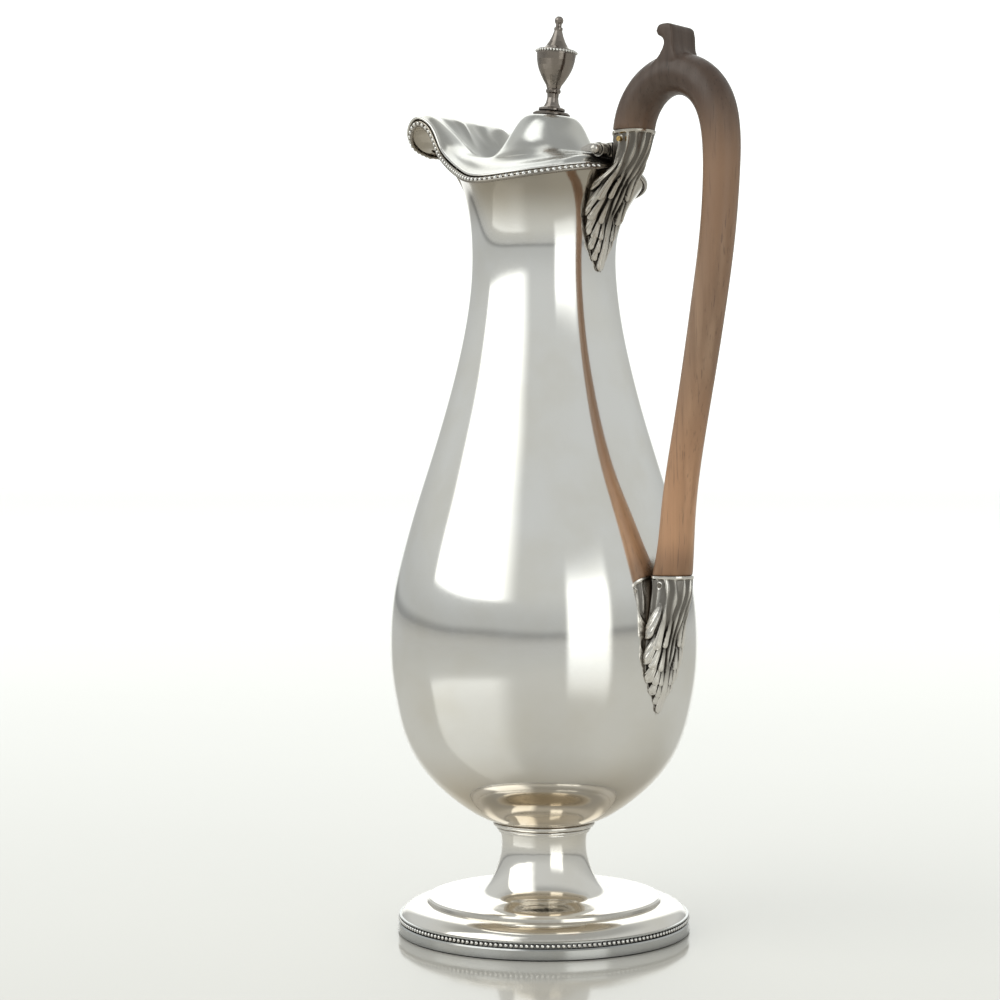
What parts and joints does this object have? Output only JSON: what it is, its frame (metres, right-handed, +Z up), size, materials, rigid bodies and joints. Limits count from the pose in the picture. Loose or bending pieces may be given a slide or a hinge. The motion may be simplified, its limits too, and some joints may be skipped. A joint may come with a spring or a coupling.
{
  "type": "hinged-lid wine jug",
  "caption": "Pear-shaped silver jug on a trumpet foot with a pouring lip, hinged domed cover, urn finial and fruitwood handle in leaf sockets.",
  "frame": {"origin": "centre of the foot's underside, on the surface the jug stands on", "axes": "+Z up the jug, +X towards the handle, -X towards the pouring lip"},
  "size_m": [0.1467, 0.1136, 0.3364],
  "materials": {
    "silver": "polished silver, lightly worn",
    "beaded_silver": "polished silver with dark recesses",
    "cast_silver": "cast and chased silver with dark recesses",
    "fruitwood": "waxed",
    "pin_brass": "polished"
  },
  "bodies": {
    "jug": {"body": "silver", "fixed_knuckle": "silver", "foot_beads": "beaded_silver", "foot_collar": "silver", "foot_pedestal": "silver", "foot_rim": "silver", "handle": "fruitwood", "hinge_pin": "silver", "lower_handle_pin": "pin_brass", "lower_socket": "cast_silver", "mouth_beads": "beaded_silver", "mouth_border": "beaded_silver", "upper_handle_pin": "pin_brass", "upper_socket": "cast_silver"},
    "cover": {"cover": "silver", "cover_hinge": "silver", "cover_moulding": "silver", "cover_bezel": "silver", "finial_plinth": "silver", "finial_stem": "silver", "finial_urn": "silver", "finial_cap": "silver", "finial_beads": "beaded_silver", "finial_screw": "silver", "finial_nut": "silver"}
  },
  "joints": [
    {"name": "cover_hinge", "type": "hinge", "parent": "jug", "child": "cover", "pos_m": [0.035, 0, 0.2836], "axis": [0, 1, 0], "range_deg": [0, 55]}
  ]
}
